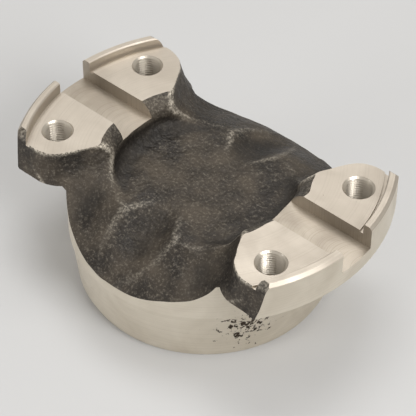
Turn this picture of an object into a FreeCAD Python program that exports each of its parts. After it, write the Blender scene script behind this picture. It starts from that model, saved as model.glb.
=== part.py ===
"""Forged wing-bearing yoke, modelled the way it is made: forge the blank, then machine it.

The blank is a round hub with a broad saddle across its top and two ears that stand up at
either end of the X axis.  The machining turns the hub, the underside and outer wall of the
ears and the raised pilot lips, faces the four pads, mills the keyway along X, and drills
the four bolt holes.  Millimetres, +Z up, origin on the shaft axis at the foot of the hub.
"""

import FreeCAD, Part
import os

import Sketcher
from FreeCAD import Vector

doc = FreeCAD.newDocument("ForgedYoke")

# ---------------------------------------------------------------- driving sizes

SIZES = [
    # hub, turned all round
    ("hub_radius", 57.4, "turned band under the ears"),
    ("hub_foot_radius", 54.6, "hub where it meets the spigot, the small end of its taper"),
    ("hub_step_height", 26.6, "height of the faint step between the taper and the band"),
    ("spigot_radius", 53.0, "short spigot that enters the tube"),
    ("spigot_height", 4.0, "length of the spigot"),
    ("recess_radius", 36.0, "mouth of the forged recess under the hub"),
    ("recess_depth", 13.0, "depth of that recess"),
    # ears
    ("ear_radius", 78.2, "turned outer wall of both ears"),
    ("ear_under_height", 47.0, "turned underside of the ears"),
    ("pad_height", 60.4, "the four milled pads"),
    ("ear_boss_radius", 14.1, "forged outline round each bolt hole, at pad height"),
    ("ear_splay", 60.5, "angle from X of the ear's flank, degrees"),
    ("ear_draft", 13.0, "forging draft of the ear's end walls, degrees"),
    ("ear_root_radius", 9.0, "fillet where the ears' side walls run into hub and saddle"),
    # pilot lips
    ("pilot_radius", 74.2, "inner wall of the lips, which centres the bearing wings"),
    ("lip_height", 4.2, "lips above the pads"),
    ("relief_width", 1.7, "tool relief at the root of the lips"),
    ("relief_depth", 0.9, "depth of that relief"),
    # bolt holes and keyway
    ("bolt_spacing_x", 114.3, "hole to hole along the keyway"),
    ("bolt_spacing_y", 54.8, "hole to hole across the keyway"),
    ("tap_drill", 11.5, "hole before its fine thread is cut"),
    ("sink_diameter", 13.4, "countersink at each mouth"),
    ("key_width", 17.8, "keyway across both ears"),
    ("key_depth", 6.4, "keyway below the pads"),
    # saddle and dish
    ("crown_height", 46.8, "flat rim of the saddle"),
    ("crown_half_width", 28.6, "saddle rim to the XZ plane, beside the noses"),
    ("flank_radius", 95.0, "convex sweep of the saddle's flanks"),
    ("valley_half_width", 17.5, "saddle rim to the XZ plane, in the valley"),
    ("valley_radius", 15.0, "round bottom of the valley down each flank"),
    ("dish_radius", 38.4, "upright wall of the dish below the ears"),
    ("ear_crest_radius", 9.5, "rounded crest of the ears above that wall"),
    ("flank_foot_height", 33.4, "where the saddle's flank runs out at the turned band"),
]

sheet = doc.addObject("Spreadsheet::Sheet", "Sizes")
for row, (name, value, note) in enumerate(SIZES, start=1):
    sheet.set("A%d" % row, name)
    sheet.set("B%d" % row, str(value))
    sheet.set("C%d" % row, note)
    sheet.setAlias("B%d" % row, name)
doc.recompute()


class Size:
    """A size held twice: as a number, and as the formula that ties it to the sheet."""

    def __init__(self, value, text):
        self.value, self.text = value, text

    @staticmethod
    def of(other):
        return other if isinstance(other, Size) else Size(other, repr(float(other)))

    def __add__(self, other):
        other = Size.of(other)
        return Size(self.value + other.value, "(%s + %s)" % (self.text, other.text))

    def __sub__(self, other):
        other = Size.of(other)
        return Size(self.value - other.value, "(%s - %s)" % (self.text, other.text))

    def __mul__(self, other):
        other = Size.of(other)
        return Size(self.value * other.value, "(%s * %s)" % (self.text, other.text))

    def __truediv__(self, other):
        other = Size.of(other)
        return Size(self.value / other.value, "(%s / %s)" % (self.text, other.text))

    def __neg__(self):
        return self * -1


def trig(angle, which):
    """Sine, cosine or tangent of an angle in degrees, still tied to the sheet."""
    number = Vector(1, 0, 0)
    rotated = FreeCAD.Rotation(Vector(0, 0, 1), angle.value).multVec(number)
    value = {"cos": rotated.x, "sin": rotated.y, "tan": rotated.y / rotated.x}[which]
    return Size(value, "%s(%s * 1deg)" % (which, angle.text))


S = {name: Size(value, "Sizes.%s" % name) for name, value, note in SIZES}

# ---------------------------------------------------------------- sketch helpers

yoke = doc.addObject("PartDesign::Body", "Yoke")
yoke.Label = "yoke"
doc.recompute()


def origin(role):
    return next(f for f in yoke.Origin.OriginFeatures if f.Role == role)


def tie(sketch, kind, *where, size):
    """Adds one dimension to a sketch and binds it to the sheet."""
    index = sketch.addConstraint(Sketcher.Constraint(kind, *where, size.value))
    sketch.setExpression("Constraints[%d]" % index, size.text)


def profile(name, plane, corners, height=None):
    """A closed sketch from corners (x, y, bend).

    bend is None for a straight run to the next corner, or (radius, side) for an arc to it:
    side +1 bulges to the left of the run, -1 to the right.
    """
    sketch = yoke.newObject("Sketcher::SketchObject", name)
    sketch.AttachmentSupport = [(origin(plane), "")]
    sketch.MapMode = "FlatFace"
    if height is not None:
        sketch.setExpression("AttachmentOffset.Base.z", height.text)
    corners = [(Size.of(x), Size.of(y), bend) for x, y, bend in corners]
    count = len(corners)
    for i, (x, y, bend) in enumerate(corners):
        nx, ny, _ = corners[(i + 1) % count]
        a, b = Vector(x.value, y.value, 0), Vector(nx.value, ny.value, 0)
        if bend is None:
            sketch.addGeometry(Part.LineSegment(a, b))
            continue
        radius, side = Size.of(bend[0]), bend[1]
        run = b - a
        left = Vector(-run.y, run.x, 0).normalize()
        half = run.Length / 2
        bulge = radius.value - (radius.value ** 2 - half ** 2) ** 0.5
        crest = (a + b) * 0.5 + left * side * bulge
        sketch.addGeometry(Part.Arc(a, crest, b))
    # an arc always runs counter-clockwise, so one that bulges left starts at its far end
    first = [2 if bend is not None and bend[1] > 0 else 1 for _, _, bend in corners]
    for i in range(count):
        j = (i + 1) % count
        sketch.addConstraint(Sketcher.Constraint("Coincident", i, 3 - first[i], j, first[j]))
    for i, (x, y, bend) in enumerate(corners):
        for kind, size in (("DistanceX", x), ("DistanceY", y)):
            tie(sketch, kind, -1, 1, i, first[i], size=size)
        if bend is not None:
            tie(sketch, "Radius", i, size=Size.of(bend[0]))
    return sketch


def loft(name, sections, ruled=False):
    feature = yoke.newObject("PartDesign::AdditiveLoft", name)
    feature.Profile = sections[0]
    feature.Sections = sections[1:]
    feature.Ruled = ruled
    doc.recompute()
    return feature


def revolved(kind, name, sketch):
    feature = yoke.newObject("PartDesign::" + kind, name)
    feature.Profile = sketch
    feature.ReferenceAxis = (origin("Z_Axis"), [""])
    feature.Angle = 360
    doc.recompute()
    return feature


def must_cut(feature, before):
    after = feature.Shape.Volume
    if not after < before - 1:
        raise RuntimeError("%s removes nothing: %.0f then %.0f mm3" % (feature.Name, before, after))
    print("%-16s leaves %8.0f mm3" % (feature.Name, after))
    return after


# ---------------------------------------------------------------- the forged blank

# Hub stock, a little over its turned size, flat on top at the saddle's crown.
stock_radius, crown_height = S["hub_radius"] + 3, S["crown_height"]
disc = profile("HubStockDisc", "XZ_Plane", [
    (0, 0, None),
    (stock_radius, 0, None),
    (stock_radius, crown_height, None),
    (0, crown_height, None),
])
stock = revolved("Revolution", "HubStock", disc)
volume = stock.Shape.Volume

# Flanks: the saddle's crown keeps its width along X and falls away on both sides in one
# broad convex sweep that runs out at the turned band.
crown, foot = S["crown_half_width"], S["flank_foot_height"]
reach = stock_radius + 4
for side, name in ((-1, "FrontFlank"), (1, "RearFlank")):
    sweep = profile(name + "Profile", "YZ_Plane", [
        (crown * side, crown_height, (S["flank_radius"], side)),
        (reach * side, foot - 4, None),
        (reach * side, crown_height + 5, None),
        (crown * side, crown_height + 5, None),
    ])
    flank = yoke.newObject("PartDesign::Pocket", name)
    flank.Profile = sweep
    flank.SideType = "Symmetric"
    flank.setExpression("Length", (reach * 2).text)
    doc.recompute()
    volume = must_cut(flank, volume)

# Valleys: a round-bottomed scoop runs down the middle of each flank and notches the rim,
# which leaves a nose on either side of it.
scoop, notch = S["valley_radius"], S["valley_half_width"]
fall = (crown_height - foot) / (S["hub_radius"] - notch)
for side, name in ((-1, "FrontValley"), (1, "RearValley")):
    low = reach + 6
    bore = profile(name + "Profile", "YZ_Plane", [
        (notch * side, crown_height, None),
        (low * side, crown_height - (low - notch) * fall, None),
        (low * side, crown_height - (low - notch) * fall + scoop, None),
        (notch * side, crown_height + scoop, None),
    ])
    valley = yoke.newObject("PartDesign::Groove", name)
    valley.Profile = bore
    valley.ReferenceAxis = (bore, ["Edge3"])
    valley.Angle = 360
    doc.recompute()
    volume = must_cut(valley, volume)

# Ears: the pads' outline, grown downward by the forging draft.
bolt_x, bolt_y = S["bolt_spacing_x"] / 2, S["bolt_spacing_y"] / 2
cosine, sine = trig(S["ear_splay"], "cos"), trig(S["ear_splay"], "sin")
ear_stock = S["ear_radius"] + 4


def ear_outline(name, side, height, grown):
    """Pad outline grown outward by `grown`, drawn at the given height on one side of YZ."""
    boss = S["ear_boss_radius"] + grown
    end = bolt_y + boss
    tangent_x, tangent_y = bolt_x - boss * sine, bolt_y + boss * cosine
    inner_y = S["key_width"] * 0.45
    inner_x = tangent_x - (tangent_y - inner_y) * cosine / sine
    return profile(name, "XY_Plane", [
        (ear_stock * side, -end, None),
        (ear_stock * side, end, None),
        (bolt_x * side, end, (boss, -side)),
        (tangent_x * side, tangent_y, None),
        (inner_x * side, inner_y, None),
        (inner_x * side, -inner_y, None),
        (tangent_x * side, -tangent_y, (boss, -side)),
        (bolt_x * side, -end, None),
    ], height=height)


pad, under = S["pad_height"], S["ear_under_height"]
draft = trig(S["ear_draft"], "tan")
ear_levels = [("Foot", foot - 8), ("Top", pad + S["lip_height"] + 1.6)]
for side, name in ((-1, "LeftEar"), (1, "RightEar")):
    ear = loft(name, [ear_outline(name + level, side, z, (pad - z) * draft)
                      for level, z in ear_levels], ruled=True)

# Fillets at the ear roots: one chain of creases a corner, where the ear's side wall meets
# the saddle's crown, then its flank, then the hub.
blank = ear.Shape


def at_ear_root(edge):
    middle = edge.valueAt((edge.FirstParameter + edge.LastParameter) / 2)
    return (bolt_x.value * 0.5 < abs(middle.x) < bolt_x.value * 0.9
            and abs(middle.y) > S["key_width"].value / 2
            and foot.value - 4 < middle.z < crown_height.value + 0.5 and edge.Length > 1)


creases = ["Edge%d" % n for n, edge in enumerate(blank.Edges, start=1) if at_ear_root(edge)]
roots = yoke.newObject("PartDesign::Fillet", "EarRoots")
roots.Base = (ear, creases)
roots.setExpression("Radius", S["ear_root_radius"].text)
doc.recompute()
volume = roots.Shape.Volume
print("%-16s holds  %8.0f mm3, %d root creases filleted" % ("blank", volume, len(creases)))

# Dish between the ears: floor a shade hollow, upright wall, and the ears' rounded crests.
dish, crest = S["dish_radius"], S["ear_crest_radius"]
crest_height = pad + 0.7
floor_height = S["crown_height"] - 0.5
corner = 4.0
above = pad + 20
floor = profile("DishProfile", "XZ_Plane", [
    (0, floor_height - 0.9, None),
    (dish - corner, floor_height, (corner, -1)),
    (dish, floor_height + corner, None),
    (dish, crest_height - crest, (crest, 1)),
    (dish + crest, crest_height, None),
    (S["pilot_radius"] - 4, crest_height, None),
    (S["pilot_radius"] - 4, above, None),
    (0, above, None),
])
dish_cut = revolved("Groove", "Dish", floor)
volume = must_cut(dish_cut, volume)

# ---------------------------------------------------------------- the machining

# Turned outside: spigot, tapered hub, band, underside of the ears, their outer wall.
hub, wall = S["hub_radius"], S["ear_radius"]
outside = profile("OutsideProfile", "XZ_Plane", [
    (S["spigot_radius"] - 0.8, 0, None),
    (S["spigot_radius"], 0.8, None),
    (S["spigot_radius"], S["spigot_height"], None),
    (S["hub_foot_radius"] - 0.4, S["spigot_height"], None),
    (S["hub_foot_radius"], S["spigot_height"] + 0.4, None),
    (hub - 0.6, S["hub_step_height"], None),
    (hub, S["hub_step_height"] + 0.6, None),
    (hub, under - 1.5, None),
    (hub + 1.5, under, None),
    (wall - 0.6, under, None),
    (wall, under + 0.6, None),
    (wall, above, None),
    (wall + 40, above, None),
    (wall + 40, -1, None),
    (S["spigot_radius"] - 0.8, -1, None),
])
outside_cut = revolved("Groove", "TurnedOutside", outside)
volume = must_cut(outside_cut, volume)

# Turned top: pads, tool relief and the raised pilot lips with their broken edges.
pilot, lip_top = S["pilot_radius"], pad + S["lip_height"]
top = profile("TopProfile", "XZ_Plane", [
    (0, pad, None),
    (pilot - S["relief_width"], pad, None),
    (pilot - S["relief_width"], pad - S["relief_depth"], None),
    (pilot, pad - S["relief_depth"], None),
    (pilot, lip_top - 0.5, None),
    (pilot + 0.5, lip_top, None),
    (wall - 1.3, lip_top, None),
    (wall, lip_top - 1.3, None),
    (wall + 40, lip_top - 1.3, None),
    (wall + 40, above + 2, None),
    (0, above + 2, None),
])
top_cut = revolved("Groove", "TurnedTop", top)
volume = must_cut(top_cut, volume)

# Forged recess under the hub, with draft and a rounded floor corner.
mouth, depth = S["recess_radius"], S["recess_depth"]
recess = profile("RecessProfile", "XZ_Plane", [
    (0, -1, None),
    (mouth + 0.3, -1, None),
    (mouth - depth * 0.2, depth - 5, (5, 1)),
    (mouth - depth * 0.2 - 5, depth, None),
    (0, depth, None),
])
recess_cut = revolved("Groove", "UnderRecess", recess)
volume = must_cut(recess_cut, volume)

# Keyway, milled along X through both ears.
half_key = S["key_width"] / 2
key = profile("KeywayOutline", "XY_Plane", [
    (-wall - 5, -half_key, None),
    (wall + 5, -half_key, None),
    (wall + 5, half_key, None),
    (-wall - 5, half_key, None),
], height=lip_top + 2)
keyway = yoke.newObject("PartDesign::Pocket", "Keyway")
keyway.Profile = key
keyway.setExpression("Length", (S["lip_height"] + S["key_depth"] + 2).text)
doc.recompute()
volume = must_cut(keyway, volume)

# Bolt holes: countersunk, drilled right through the ears to their turned underside.
spots = yoke.newObject("Sketcher::SketchObject", "BoltCentres")
spots.AttachmentSupport = [(origin("XY_Plane"), "")]
spots.MapMode = "FlatFace"
spots.setExpression("AttachmentOffset.Base.z", pad.text)
for sx in (-1, 1):
    for sy in (-1, 1):
        i = spots.addGeometry(Part.Circle(
            Vector(sx * bolt_x.value, sy * bolt_y.value, 0), Vector(0, 0, 1), 5))
        tie(spots, "Diameter", i, size=S["tap_drill"])
        tie(spots, "DistanceX", -1, 1, i, 3, size=bolt_x * sx)
        tie(spots, "DistanceY", -1, 1, i, 3, size=bolt_y * sy)
doc.recompute()
holes = yoke.newObject("PartDesign::Hole", "BoltHoles")
holes.Profile = spots
doc.recompute()
holes.DepthType = "Dimension"
holes.Threaded = False
holes.HoleCutType = "Countersink"
holes.HoleCutCountersinkAngle = 90
holes.DrillPoint = "Flat"
holes.setExpression("Depth", (pad - under + 3).text)
holes.setExpression("Diameter", S["tap_drill"].text)
holes.setExpression("HoleCutDiameter", S["sink_diameter"].text)
doc.recompute()
volume = must_cut(holes, volume)
yoke.Tip = holes
doc.recompute()

# ---------------------------------------------------------------- checks and output

failed = [o.Name for o in doc.Objects if "Invalid" in o.State or "Error" in o.State]
shape = yoke.Shape
if failed or shape.isNull() or not shape.isValid() or len(shape.Solids) != 1:
    raise RuntimeError("not written: failed %s, solids %d" % (failed, len(shape.Solids)))
box = shape.BoundBox
print("yoke %.1f x %.1f x %.1f mm, %.0f mm3, %d faces" % (
    box.XLength, box.YLength, box.ZLength, shape.Volume, len(shape.Faces)))
os.makedirs("parts", exist_ok=True)
shape.exportStep("parts/%s.step" % yoke.Label)
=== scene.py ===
# %% [markdown]
# # A forged wing-bearing yoke
# The real part is one steel forging.  A hammer gives it a soft, uneven, dark skin; a lathe and a
# mill then cut through that skin wherever another part has to fit.  The lesson builds it the same
# way round: a blank described by a distance field, then cutters taken out of it one by one.  Each
# cutter leaves its own finish behind, so the seams between skin and bright metal fall where they
# do on the real part, at whatever line the two shapes happen to meet.

# %% Start from the fixed frame
import math
from itertools import product

import bpy
import numpy as np
from mathutils import Matrix, Vector


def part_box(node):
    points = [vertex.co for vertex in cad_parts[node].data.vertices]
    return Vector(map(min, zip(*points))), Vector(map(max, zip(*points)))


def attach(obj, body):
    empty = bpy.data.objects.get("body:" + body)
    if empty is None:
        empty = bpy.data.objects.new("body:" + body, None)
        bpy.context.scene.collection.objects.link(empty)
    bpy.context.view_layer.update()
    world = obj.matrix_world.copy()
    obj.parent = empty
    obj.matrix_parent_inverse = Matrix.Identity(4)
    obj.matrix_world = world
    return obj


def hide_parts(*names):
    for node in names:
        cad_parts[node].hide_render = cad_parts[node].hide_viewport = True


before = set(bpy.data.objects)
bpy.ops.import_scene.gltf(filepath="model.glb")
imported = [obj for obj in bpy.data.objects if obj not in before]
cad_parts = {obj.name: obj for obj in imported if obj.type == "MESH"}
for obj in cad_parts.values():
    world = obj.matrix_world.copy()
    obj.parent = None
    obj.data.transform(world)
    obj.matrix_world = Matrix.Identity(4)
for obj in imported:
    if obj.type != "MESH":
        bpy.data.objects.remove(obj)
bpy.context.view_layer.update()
MM = 0.001
low, high = (np.array(corner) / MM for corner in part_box("yoke"))
EAR_R, HUB_R, TOP = high[0], high[1], high[2]
print("frame %.1f x %.1f x %.1f mm" % tuple(high - low))

# %% [markdown]
# ## Sizes
# Millimetres.  The three overall ones come from the frame; the rest are the sizes that a drawing
# of the part would carry.

# %% Named sizes
PAD = TOP - 4.2            # the four pads
UNDER = PAD - 13.4         # turned underside of the ears
KEY_FLOOR = PAD - 6.4      # floor of the keyway
KEY_HALF = 8.9
PILOT_R = EAR_R - 4.0      # inner wall of the raised lips
BOLT_X, BOLT_Y = 57.15, 27.4
BOSS_R = 14.1              # forged outline round each hole
SPLAY = math.radians(60.5)
DRAFT = math.tan(math.radians(13))
CROWN = 46.8               # top of the saddle
DISH_R = 38.4
CREST_R = 9.5              # rounded top of the dish's wall
RIM, NOTCH = 27.6, 15.0    # where the flank and the valley start, from the middle
ROOT_BLEND = 13.0          # width over which an ear's root melts into the hub
HUB_STEP_Z = 26.6          # faint turned step between the hub's taper and its band
HUB_FOOT_R = 54.6          # small end of that taper
SPIGOT_R, SPIGOT_Z = 53.0, 4.0
RELIEF, RELIEF_DEEP = 1.7, 0.9   # tool relief at the root of the lips
PITCH = 1.27               # half-inch fine thread
THREAD_MINOR, THREAD_MAJOR = 5.6, 6.5   # cut 0.15 mm deep each way, so that the crests show
SINK_R = 6.7               # countersink at each mouth
print("pads at %.1f, keyway floor %.1f, underside %.1f mm" % (PAD, KEY_FLOOR, UNDER))

# %% [markdown]
# ## The forged blank
# A forging has no sharp inside corners: metal flows round generous radii.  Polygons with bevels
# fight over such corners, while a distance field blends them for free.  The field is a function
# that is negative inside the metal; `soft_min` joins two shapes with a fillet and `soft_max`
# trims one by another with a rounded edge.

# %% Blending two fields
def soft_min(a, b, width):
    h = np.maximum(width - np.abs(a - b), 0) / width
    return np.minimum(a, b) - h * h * width / 4


def soft_max(a, b, width):
    return -soft_min(-a, -b, width)


def bump(dx, dy, spread):
    return np.exp(-(dx * dx + dy * dy) / (2 * spread * spread))


print("a soft corner of width 4 gives way by %.1f mm" % -soft_min(0.0, 0.0, 4.0))


# %% [markdown]
# The saddle is a height over the plan: a flat crown, a flank that falls away in a convex sweep on
# either side, and a valley down the middle of each flank that leaves a nose to its left and right.

# %% Height of the saddle
def saddle_height(x, y):
    front, across = y < 0, np.abs(y)
    run = across - RIM
    sweep = np.where(front, 0.0088, 0.0100)
    flank = CROWN - 0.268 * run - sweep * np.maximum(run, 0) ** 2
    valley_x = np.where(front, -2.5, -1.0)
    valley_r = np.where(front, 17.5, 13.0)
    valley = CROWN - 0.34 * (across - NOTCH) + (x - valley_x) ** 2 / (2 * valley_r)
    height = soft_min(soft_min(flank, valley, 2.2), np.full_like(x, CROWN), 1.4)
    height += np.where(front, 0.9, 0.3) * bump(x - 1, across - 51, 6)
    height -= np.where(front, 1.6, 0.8) * bump(np.abs(x) - 31, across - 38, 7)
    return height


flank_points = np.array([0.0, 16.0]), np.array([-50.0, -50.0])
print("valley and nose, 50 mm forward: %.1f %.1f mm high" % tuple(saddle_height(*flank_points)))


# %% [markdown]
# Each ear is the rounded outline round its two bolt holes, drawn in to the dish and grown toward
# the foot by the forging's draft, the taper that lets it leave the die.  One formula makes both
# ears and both ends of each, because the plan is folded about its two axes first.

# %% Field of the ears
def ear_field(x, y, z):
    u, v = np.abs(x) - BOLT_X, np.abs(y) - BOLT_Y
    slant = -math.sin(SPLAY) * u + math.cos(SPLAY) * v
    along = -math.cos(SPLAY) * u - math.sin(SPLAY) * v
    outline = np.where((u < 0) & (along <= 0), np.hypot(u, v), np.maximum(v, slant))
    side = (outline - BOSS_R - DRAFT * (PAD - z)) * math.cos(math.atan(DRAFT))
    body = soft_max(side, z - (TOP + 1.0), 5.0)
    body = np.maximum(body, np.hypot(x, y) - (EAR_R + 3.3))
    return np.maximum(body, 30.0 - z)


at_hole = (np.array([BOLT_X]), np.array([BOLT_Y]), np.array([PAD]))
print("metal round a bolt hole at pad height: %.1f mm" % -ear_field(*at_hole)[0])


# %% [markdown]
# The dish between the ears is one revolved shape: nearly flat floor, upright wall, and a crest
# that rolls over to the top of the ears.  Beyond the crest the stock stays high for the lips.

# %% The whole blank
def blank_field(points):
    x, y, z = points[:, 0], points[:, 1], points[:, 2]
    r = np.hypot(x, y)
    hub = np.maximum(np.maximum((z - saddle_height(x, y)) * 0.92, r - (HUB_R + 3)), -2 - z)
    metal = soft_min(hub, ear_field(x, y, z), ROOT_BLEND)
    inward, upward = DISH_R + CREST_R - r, z - (PAD + 0.7 - CREST_R)
    crest = (np.hypot(np.maximum(inward, 0), np.maximum(upward, 0))
             + np.minimum(np.maximum(inward, upward), 0) - CREST_R)
    crest = soft_min(crest, PILOT_R - 3.5 - r, 2.0)
    floor = z - (46.3 - 0.6 * (1 - (r / DISH_R) ** 2))
    return soft_max(metal, soft_min(crest, floor, 6.0), 1.3)


probe = blank_field(np.array([[0, 0, 30.0], [0, 0, 60.0], [57, 0, 50.0]]))
print("field at hub, over the dish, in an ear: %.1f %.1f %.1f mm" % tuple(probe))

# %% [markdown]
# ## From field to mesh
# Surface nets put one point in every grid cell that the surface crosses and join the points round
# each crossed grid edge with a quad.  The result is closed and evenly quilted, which is what a
# boolean and smooth shading both like.  A few steps along the field's slope then settle each
# point on the true surface, so the grid leaves no ripple.

# %% Surface nets
def surface_nets(values, corner, step):
    inside = values < 0
    cut = tuple(n - 1 for n in values.shape)
    filled = np.zeros(cut, int)
    for i, j, k in product((0, 1), repeat=3):
        filled += inside[i:i + cut[0], j:j + cut[1], k:k + cut[2]]
    cells = np.argwhere((filled > 0) & (filled < 8))
    number = np.full(cut, -1)
    number[tuple(cells.T)] = np.arange(len(cells))
    total, count = np.zeros((len(cells), 3)), np.zeros((len(cells), 1))
    for start in product((0, 1), repeat=3):
        for axis in range(3):
            if start[axis]:
                continue
            a, b = np.array(start), np.array(start)
            b[axis] = 1
            va, vb = values[tuple((cells + a).T)], values[tuple((cells + b).T)]
            crossed = (va < 0) != (vb < 0)
            part = np.where(crossed, va / np.where(crossed, va - vb, 1), 0)
            total += np.where(crossed[:, None], a + part[:, None] * (b - a), 0)
            count += crossed[:, None]
    points = corner + (cells + total / count) * step
    quads = []
    for axis in range(3):
        u, v = (axis + 1) % 3, (axis + 2) % 3
        first, second = np.take(inside, range(cut[axis]), axis), np.take(
            inside, range(1, cut[axis] + 1), axis)
        at = np.argwhere(first != second)
        at = at[(at[:, u] > 0) & (at[:, v] > 0) & (at[:, u] < cut[u]) & (at[:, v] < cut[v])]
        ring = []
        for du, dv in ((0, 0), (1, 0), (1, 1), (0, 1)):
            cell = at.copy()
            cell[:, u] -= du
            cell[:, v] -= dv
            ring.append(number[tuple(cell.T)])
        ring = np.stack(ring, 1)
        outward = first[tuple(at.T)]
        quads.append(np.where(outward[:, None], ring, ring[:, ::-1]))
    return points, np.concatenate(quads)


def slope(field, points, reach):
    """The field's gradient and its Laplacian, both from differences over `reach`."""
    here = field(points)
    gradient, curve = np.zeros_like(points), np.zeros(len(points))
    for axis in range(3):
        shift = np.zeros(3)
        shift[axis] = reach
        ahead, behind = field(points + shift), field(points - shift)
        gradient[:, axis] = (ahead - behind) / (2 * reach)
        curve += (ahead + behind - 2 * here) / reach ** 2
    return here, gradient, curve


ball_axis = np.linspace(-6, 6, 13)
ball = np.sqrt(sum(a * a for a in np.meshgrid(ball_axis, ball_axis, ball_axis))) - 5
print("a test ball of radius 5 has %d quads" % len(surface_nets(ball, np.full(3, -6.0), 1.0)[1]))


# %% Mesh of the blank
STEP = 0.9
corner = np.array([-EAR_R - 6, -HUB_R - 6, -4.0])
cells = np.ceil((np.array([EAR_R + 6, HUB_R + 6, TOP + 4]) - corner) / STEP).astype(int) + 1
axes = [corner[i] + STEP * np.arange(cells[i]) for i in range(3)]
grid = np.stack(np.meshgrid(*axes, indexing="ij"), -1).reshape(-1, 3)
points, quads = surface_nets(blank_field(grid).reshape(cells), corner, STEP)
for _ in range(4):
    here, gradient, _curve = slope(blank_field, points, 0.05)
    length2 = np.maximum((gradient ** 2).sum(1), 0.2)
    points -= np.clip(here / length2, -0.4, 0.4)[:, None] * gradient
print("blank: %d points, %d quads" % (len(points), len(quads)))

# %% [markdown]
# A forging die wears and scale flakes off, so no real skin is quite fair.  A few dozen seeded
# waves in random directions push it in and out by a fifth of a millimetre.

# %% Unevenness of the skin
chance = np.random.default_rng(41)


def unevenness(points, wave_mm, count):
    total = np.zeros(len(points))
    for _ in range(count):
        direction = chance.normal(size=3)
        direction *= 2 * math.pi / (wave_mm * chance.uniform(0.7, 1.6) * np.linalg.norm(direction))
        total += np.sin(points @ direction + chance.uniform(0, 2 * math.pi))
    return total / math.sqrt(count / 2)


_here, gradient, _curve = slope(blank_field, points, 0.3)
normals = gradient / np.maximum(np.linalg.norm(gradient, axis=1), 1e-6)[:, None]
lift = 0.16 * unevenness(points, 15, 20) + 0.07 * unevenness(points, 6, 24)
points += normals * lift[:, None]
print("skin lifted by %.2f to %.2f mm" % (lift.min(), lift.max()))

# %% [markdown]
# ## Cutters
# A lathe tool is a profile spun round the shaft's axis.  A mill's is a box.  Each cutter carries
# the finish it leaves, and the boolean hands that over to the faces it makes.

# %% Meshes from points, and spun profiles
def mesh_object(name, verts, faces, finish):
    mesh = bpy.data.meshes.new(name)
    mesh.from_pydata((np.asarray(verts) * MM).tolist(), [], [list(map(int, f)) for f in faces])
    mesh.materials.append(finish)
    obj = bpy.data.objects.new(name, mesh)
    bpy.context.scene.collection.objects.link(obj)
    return obj


def spun(name, profile, finish, around=240):
    """A closed solid of revolution from (radius, height) points, counter-clockwise in (r, z)."""
    verts, rows = [], []
    for radius, height in profile:
        if radius == 0:
            rows.append([len(verts)] * around)
            verts.append((0, 0, height))
            continue
        rows.append(list(range(len(verts), len(verts) + around)))
        for i in range(around):
            turn = 2 * math.pi * i / around
            verts.append((radius * math.cos(turn), radius * math.sin(turn), height))
    faces = []
    for a, b in zip(rows, rows[1:] + rows[:1]):
        for i in range(around):
            j = (i + 1) % around
            face = [a[i], b[i], b[j], a[j]]
            face = [v for n, v in enumerate(face) if v != face[n - 1]]
            if len(face) > 2:
                faces.append(face[::-1])
    return mesh_object(name, verts, faces, finish)


print("a spun ring of 240 steps strays %.3f mm from round" % (EAR_R * (1 - math.cos(math.pi / 240))))

# %% [markdown]
# ## Materials
# Two finishes tell the story.  Forged skin is oxide scale: brown-black, dull, speckled, rubbed
# lighter on ridges.  Machined steel is bare metal: warm grey, with the tool's fine lines running
# the way the tool went.  One small function adds every node.

# %% Colour and node helpers
def linear(hex_text):
    parts = [int(hex_text[i:i + 2], 16) / 255 for i in (1, 3, 5)]
    return [c / 12.92 if c <= 0.04045 else ((c + 0.055) / 1.055) ** 2.4 for c in parts] + [1.0]


def add(tree, kind, settings=None, inputs=None):
    node = tree.nodes.new(kind)
    for key, value in (settings or {}).items():
        setattr(node, key, value)
    for key, value in (inputs or {}).items():
        if isinstance(value, bpy.types.NodeSocket):
            tree.links.new(value, node.inputs[key])
        else:
            node.inputs[key].default_value = value
    return node


def new_material(name):
    material = bpy.data.materials.new(name)
    material.use_nodes = True
    tree = material.node_tree
    return material, tree, tree.nodes["Principled BSDF"]


def blend(tree, factor, a, b):
    mix = add(tree, "ShaderNodeMix", {"data_type": "RGBA"}, {0: factor, 6: a, 7: b})
    return mix.outputs[2]


def ramp(tree, value, start, end, low_out=0.0, high_out=1.0):
    return add(tree, "ShaderNodeMapRange", {}, {0: value, 1: start, 2: end, 3: low_out,
                                                4: high_out}).outputs[0]


def every(mm):
    """Noise scale that gives one blotch in so many millimetres."""
    return round(1 / (mm * MM))


print("noise scale for a blotch each 14.3 mm:", every(14.3))


# %% [markdown]
# Forged skin is a brittle crust of black iron oxide over steel.  It reads as brown-black with a
# half-dull sheen, because the oxide is neither bare metal nor paint.  Grains of about a
# millimetre catch light as specks.  Ridges are painted lighter, partly rubbed toward bare metal
# and partly a painted highlight, and hollows are painted darker as painted shade.  Two attributes
# on the mesh, `ridge_wear_and_highlight` and `hollow_shade`, say where; they are measured after the
# cut.

# %% Forged skin: oxide scale on steel
skin, tree, shader = new_material("forged_steel_scale")
place = add(tree, "ShaderNodeTexCoord").outputs["Object"]
ridge_wear_and_highlight = add(tree, "ShaderNodeAttribute", {"attribute_name": "ridge_wear_and_highlight"}).outputs["Fac"]
hollow_shade = add(tree, "ShaderNodeAttribute", {"attribute_name": "hollow_shade"}).outputs["Fac"]
clouds = add(tree, "ShaderNodeTexNoise", {}, {"Vector": place, "Scale": every(14.3),
                                              "Detail": 5}).outputs[0]
grains = add(tree, "ShaderNodeTexNoise", {}, {"Vector": place, "Scale": every(1.111), "Detail": 5,
                                              "Roughness": 0.75}).outputs[0]
scale_hex, brown_hex, speck_hex = "#26211C", "#4A4238", "#A39A8A"
wear_and_highlight_hex, hollow_shade_hex = "#CBC2B2", "#1B1815"
colour = blend(tree, ramp(tree, clouds, 0.38, 0.66), linear(scale_hex), linear(brown_hex))
colour = blend(tree, ramp(tree, grains, 0.52, 0.70, 0, 0.36), colour, linear(speck_hex))
# Painted shade: the skin is darkened in its hollows.
colour = blend(tree, ramp(tree, hollow_shade, 0.0, 1.0, 0, 0.6), colour, linear(hollow_shade_hex))
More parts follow.
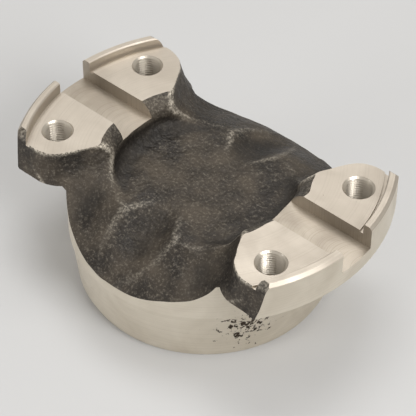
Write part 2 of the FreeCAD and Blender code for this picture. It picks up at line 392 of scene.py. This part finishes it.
# Ridges painted lighter: partly rubbed wear toward bare metal, partly a painted highlight.
rubbed_and_highlight = add(tree, "ShaderNodeMath", {"operation": "MULTIPLY"}, {
    0: ridge_wear_and_highlight, 1: ramp(tree, grains, 0.42, 0.58, 0.1, 1.0)}).outputs[0]
colour = blend(tree, rubbed_and_highlight, colour, linear(wear_and_highlight_hex))
tree.links.new(colour, shader.inputs["Base Color"])
tree.links.new(ramp(tree, clouds, 0.3, 0.7, 0.44, 0.62), shader.inputs["Roughness"])
shader.inputs["Metallic"].default_value = 0.45
dents = add(tree, "ShaderNodeTexNoise", {}, {"Vector": place, "Scale": every(2.38),
                                             "Detail": 6}).outputs[0]
relief = add(tree, "ShaderNodeBump", {}, {"Strength": 0.8, "Distance": 0.0009, "Height": dents})
tree.links.new(relief.outputs[0], shader.inputs["Normal"])
print("forged skin:", scale_hex, brown_hex, speck_hex, wear_and_highlight_hex)


# %% [markdown]
# Machined finishes share one recipe.  The tool's lines are noise stretched along the way the tool
# went: rings of equal height on a turned wall, rings of equal radius on a faced pad, arcs of the
# cutter's own radius on a milled floor.  Real feed marks are a tenth of a millimetre apart, too
# fine to show, so they are drawn about seven times coarser.  Bare steel would be fully metallic;
# a thin film of oil and dust takes it down a little, which keeps it warm in a pale room.
# Rust has bitten one patch of the hub under the right ear, and a few single pits elsewhere.

# %% Machined steel
RUST_PLACE = [0.049, -0.030, 0.019]    # on the hub, under the right ear, metres
# The second colour paints shade into a thin line at the hub's small turned step.
rust_hex, step_shade_hex = "#3B2F24", "#7A6F60"


def machined(name, base_hex, dark_hex, lines, rough, pits=0.0):
    material, tree, shader = new_material(name)
    place = add(tree, "ShaderNodeTexCoord").outputs["Object"]
    xyz = add(tree, "ShaderNodeSeparateXYZ", {}, {0: place}).outputs
    flat = add(tree, "ShaderNodeCombineXYZ", {}, {0: xyz[0], 1: xyz[1]}).outputs[0]
    radius = add(tree, "ShaderNodeVectorMath", {"operation": "LENGTH"}, {0: flat}).outputs[1]
    if lines == "wall":
        across = xyz[2]
    elif lines == "face":
        across = radius
    else:
        squared = add(tree, "ShaderNodeMath", {"operation": "MULTIPLY"}, {0: xyz[1], 1: xyz[1]})
        left = add(tree, "ShaderNodeMath", {"operation": "SUBTRACT"}, {
            0: (KEY_HALF * MM * 1.05) ** 2, 1: squared.outputs[0]})
        arc = add(tree, "ShaderNodeMath", {"operation": "SQRT"}, {0: left.outputs[0]})
        across = add(tree, "ShaderNodeMath", {}, {0: xyz[0], 1: arc.outputs[0]}).outputs[0]
    where = add(tree, "ShaderNodeCombineXYZ", {}, {0: across}).outputs[0]
    feed = add(tree, "ShaderNodeTexNoise", {}, {"Vector": where, "Scale": every(0.7143), "Detail": 3,
                                                "Roughness": 0.7}).outputs[0]
    cloud = add(tree, "ShaderNodeTexNoise", {}, {"Vector": place, "Scale": every(18.2), "Detail": 4,
                                                 "Distortion": 0.6}).outputs[0]
    colour = blend(tree, ramp(tree, cloud, 0.35, 0.7, 0, 0.45), linear(base_hex), linear(dark_hex))
    colour = blend(tree, ramp(tree, feed, 0.5, 0.68, 0, 0.4), colour, linear(dark_hex))
    spots = add(tree, "ShaderNodeTexNoise", {}, {"Vector": place, "Scale": every(2.38), "Detail": 4,
                                                 "Roughness": 0.65}).outputs[0]
    # Painted shade: a darker line at the hub's small step, where the tiny chamfer would fall in
    # shade.
    if lines == "wall":
        step = add(tree, "ShaderNodeMath", {"operation": "COMPARE"}, {
            0: xyz[2], 1: (HUB_STEP_Z + 0.2) * MM, 2: 0.3 * MM}).outputs[0]
        colour = blend(tree, ramp(tree, step, 0, 1, 0, 0.5), colour, linear(step_shade_hex))
    damp = add(tree, "ShaderNodeVectorMath", {"operation": "DISTANCE"}, {
        0: place, 1: RUST_PLACE}).outputs[1]
    edge = ramp(tree, damp, 0.004, 0.022, 0.735 - 0.24 * pits, 0.735)
    above = add(tree, "ShaderNodeMath", {"operation": "SUBTRACT"}, {0: spots, 1: edge}).outputs[0]
    rust = ramp(tree, above, 0, 0.04)
    colour = blend(tree, rust, colour, linear(rust_hex))
    tree.links.new(colour, shader.inputs["Base Color"])
    tree.links.new(ramp(tree, cloud, 0.3, 0.7, rough, rough + 0.12), shader.inputs["Roughness"])
    shader.inputs["Metallic"].default_value = 0.85
    relief = add(tree, "ShaderNodeBump", {}, {"Strength": 0.35, "Distance": 0.0002, "Height": feed})
    tree.links.new(relief.outputs[0], shader.inputs["Normal"])
    return material


turned = machined("turned_steel_wall", "#DDD5C6", "#B9AF9E", "wall", 0.40, pits=1.0)
faced = machined("faced_steel_pad", "#C3BAAD", "#A0968A", "face", 0.42)
milled = machined("milled_steel_keyway", "#BBB1A3", "#766C5F", "arc", 0.36)
thread = machined("tapped_steel_thread", "#CFC7BA", "#9A9184", "wall", 0.28)
print("machined steel:", [m.name for m in (turned, faced, milled, thread)])

# %% [markdown]
# ## Machining
# The outside tool turns the spigot, the tapered hub, the band above it, the underside of the ears
# and their outer wall.  The top tool faces the pads, cuts a small relief and leaves the lips.

# %% Lathe tools
FAR = EAR_R + 12
outside = spun("outside_tool", [
    (SPIGOT_R - 0.8, 0), (SPIGOT_R - 0.8, -5), (FAR, -5), (FAR, TOP + 6), (EAR_R, TOP + 6),
    (EAR_R, UNDER + 0.6),
    (EAR_R - 0.6, UNDER), (HUB_R + 1.5, UNDER), (HUB_R, UNDER - 1.5), (HUB_R, HUB_STEP_Z + 0.6),
    (HUB_R - 0.6, HUB_STEP_Z), (HUB_FOOT_R, SPIGOT_Z + 0.4), (HUB_FOOT_R - 0.4, SPIGOT_Z),
    (SPIGOT_R, SPIGOT_Z), (SPIGOT_R, 0.8)], turned)
top = spun("top_tool", [
    (30, PAD), (PILOT_R - RELIEF, PAD), (PILOT_R - RELIEF, PAD - RELIEF_DEEP),
    (PILOT_R, PAD - RELIEF_DEEP),
    (PILOT_R, TOP - 0.5), (PILOT_R + 0.5, TOP), (EAR_R - 1.3, TOP), (EAR_R, TOP - 1.3),
    (FAR, TOP - 1.3), (FAR, TOP + 7), (30, TOP + 7)], faced)
foot = spun("foot_tool", [(0, -6), (FAR, -6), (FAR, 0), (0, 0)], turned)
recess = spun("recess_die", [
    (0, -1), (36.3, -1), (33.4, 8), (32.5, 10.6), (30.6, 12.5), (28.4, 13), (0, 13)], skin)
reach = FAR + 2
box = [(x, y, z) for x in (-reach, reach) for y in (-KEY_HALF, KEY_HALF)
       for z in (KEY_FLOOR, TOP + 8)]
key = mesh_object("keyway_tool", box, [
    (0, 1, 3, 2), (4, 6, 7, 5), (0, 4, 5, 1), (2, 3, 7, 6), (0, 2, 6, 4), (1, 5, 7, 3)], milled)
print("cutters:", [o.name for o in (outside, top, foot, recess, key)])

# %% [markdown]
# A tapped hole is a cylinder whose radius rises and falls once a pitch as it climbs, a sixth of a
# pitch a row, with a countersink at the mouth.

# %% Taps
def tap(name, x, y, around=40):
    rows = int((PAD - UNDER + 5) / (PITCH / 6)) + 1
    verts, faces = [], []
    for row in range(rows + 1):
        z = UNDER - 2 + row * PITCH / 6
        for i in range(around):
            turn = i / around
            wave = abs(2 * ((z / PITCH - turn) % 1) - 1)
            r = THREAD_MINOR + (THREAD_MAJOR - THREAD_MINOR) * wave
            lower_mouth = SINK_R - (z - UNDER) if z > UNDER - 0.3 else 0
            r = max(r, SINK_R + min(z - PAD, 0.2), lower_mouth)
            angle = 2 * math.pi * turn
            verts.append((x + r * math.cos(angle), y + r * math.sin(angle), z))
    for row in range(rows):
        for i in range(around):
            a, b = row * around + i, row * around + (i + 1) % around
            faces.append((a, b, b + around, a + around))
    faces.append(tuple(reversed(range(around))))
    faces.append(tuple(rows * around + i for i in range(around)))
    return mesh_object(name, verts, faces, thread)


taps = [tap("tap_%d%d" % (sx > 0, sy > 0), sx * BOLT_X, sy * BOLT_Y)
        for sx in (-1, 1) for sy in (-1, 1)]
print("taps:", [o.name for o in taps])

# %% Cut the blank
yoke = mesh_object("forged_yoke", points, quads, skin)
for cutter in [outside, top, foot, recess, key] + taps:
    cut = yoke.modifiers.new(cutter.name, "BOOLEAN")
    cut.operation, cut.solver, cut.object = "DIFFERENCE", "MANIFOLD", cutter
    cut.material_mode = "TRANSFER"
graph = bpy.context.evaluated_depsgraph_get()
mesh = bpy.data.meshes.new_from_object(yoke.evaluated_get(graph))
yoke.modifiers.clear()
yoke.data = mesh
for cutter in [outside, top, foot, recess, key] + taps:
    bpy.data.objects.remove(cutter)
print("cut yoke: %d faces, materials %s" % (len(mesh.polygons), [m.name for m in mesh.materials]))

# %% [markdown]
# ## Shading the cut mesh
# Forged skin is smooth all over; a cutter's edge is sharp.  So faces are smooth, and edges are
# marked sharp where they bend hard or where one finish meets another.  Ridges of the skin, which
# rub bright first and also take a painted highlight, and hollows, which take painted shade, are
# found from the field's own curvature.

# %% Sharp edges, and ridges and hollows for wear, painted highlight and painted shade
names = [m.name for m in mesh.materials]
finish = [names[p.material_index] for p in mesh.polygons]
normal = np.array([p.normal[:] for p in mesh.polygons])
sides = {}
for p in mesh.polygons:
    for pair in p.edge_keys:
        sides.setdefault(pair, []).append(p.index)
for edge in mesh.edges:
    pair = sides.get(tuple(sorted(edge.vertices)), [])
    if len(pair) == 2:
        turn = float(normal[pair[0]] @ normal[pair[1]])
        edge.use_edge_sharp = turn < 0.80 or finish[pair[0]] != finish[pair[1]]
for p in mesh.polygons:
    p.use_smooth = finish[p.index] != thread.name
place = np.array([v.co[:] for v in mesh.vertices]) / MM
_here, _gradient, broad = slope(blank_field, place, 4.0)
# Painted shade mask: how far the skin curves into a hollow.
hollow_shade_layer = mesh.attributes.new("hollow_shade", "FLOAT", "POINT")
hollow_shade_layer.data.foreach_set("value", np.clip((-broad - 0.01) / 0.07, 0, 1).astype(np.float32))
# Ridge mask for rubbed wear and painted highlight.
_here, _gradient, curve = slope(blank_field, place, 1.6)
ridge_wear_and_highlight_layer = mesh.attributes.new("ridge_wear_and_highlight", "FLOAT", "POINT")
ridge_wear_and_highlight_layer.data.foreach_set("value", np.clip((curve - 0.06) / 0.35, 0, 1).astype(np.float32))
print("open edges: %d" % sum(len(s) != 2 for s in sides.values()))
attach(yoke, "root")
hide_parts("yoke")

# %% [markdown]
# ## Floor, light and camera
# A plain pale floor takes the shadow.  Metal shows what is round it more than its own colour, so
# the room is an even pale grey, with three broad lamps: the key to the right, one overhead and a
# weaker one low at the front left that lifts the hub's wall.

# %% Floor
ground, tree, shader = new_material("studio_floor")
shader.inputs["Base Color"].default_value = linear("#C0C0C0")
shader.inputs["Roughness"].default_value = 0.9
shader.inputs["Specular IOR Level"].default_value = 0.1
floor = mesh_object("floor", [(-4000, -4000, 0), (4000, -4000, 0), (4000, 4000, 0),
                              (-4000, 4000, 0)], [(0, 1, 2, 3)], ground)
print("floor 8 m square, at the foot of the hub")

# %% Light
world = bpy.data.worlds.new("studio")
bpy.context.scene.world = world
world.use_nodes = True
world.node_tree.nodes["Background"].inputs[0].default_value = linear("#F4F1EC")
world.node_tree.nodes["Background"].inputs[1].default_value = 0.62
middle = Vector(((low + high) / 2 * MM).tolist())


def lamp(name, offset, side, watts):
    light = bpy.data.lights.new(name, "AREA")
    light.shape, light.size, light.energy = "SQUARE", side, watts
    obj = bpy.data.objects.new(name, light)
    obj.location = middle + Vector(offset)
    obj.rotation_euler = (middle - obj.location).to_track_quat("-Z", "Y").to_euler()
    bpy.context.scene.collection.objects.link(obj)


lamp("key_right", (0.95, -0.15, 0.75), 0.6, 9)
lamp("over", (-0.25, 0.35, 1.2), 0.7, 7)
lamp("front_left", (-0.45, -1.1, 0.35), 0.5, 5)
print("room at 0.62, lamps of 9, 7 and 5 W")

# %% Camera
azimuth, elevation, roll = (math.radians(a) for a in (40.86, 44.69, 0.17))
back = Vector((math.sin(azimuth) * math.cos(elevation), -math.cos(azimuth) * math.cos(elevation),
               math.sin(elevation)))
right = (-back).cross(Vector((0, 0, 1))).normalized()
up = right.cross(-back)
turned_right = right * math.cos(roll) + up * math.sin(roll)
turned_up = up * math.cos(roll) - right * math.sin(roll)
camera = bpy.data.objects.new("camera", bpy.data.cameras.new("camera"))
basis = Matrix((turned_right, turned_up, back)).transposed().to_4x4()
camera.matrix_world = Matrix.Translation(middle + Vector((0.3573, -0.4078, 0.5365))) @ basis
camera.data.lens, camera.data.sensor_width = 158.6, 36
camera.data.shift_x, camera.data.shift_y = -0.0149, -0.0008
camera.data.clip_start, camera.data.clip_end = 0.01, 50
bpy.context.scene.collection.objects.link(camera)
bpy.context.scene.camera = camera
bpy.context.scene.view_settings.view_transform = "Standard"
print("camera %.2f m from the middle of the part" % (camera.location - middle).length)
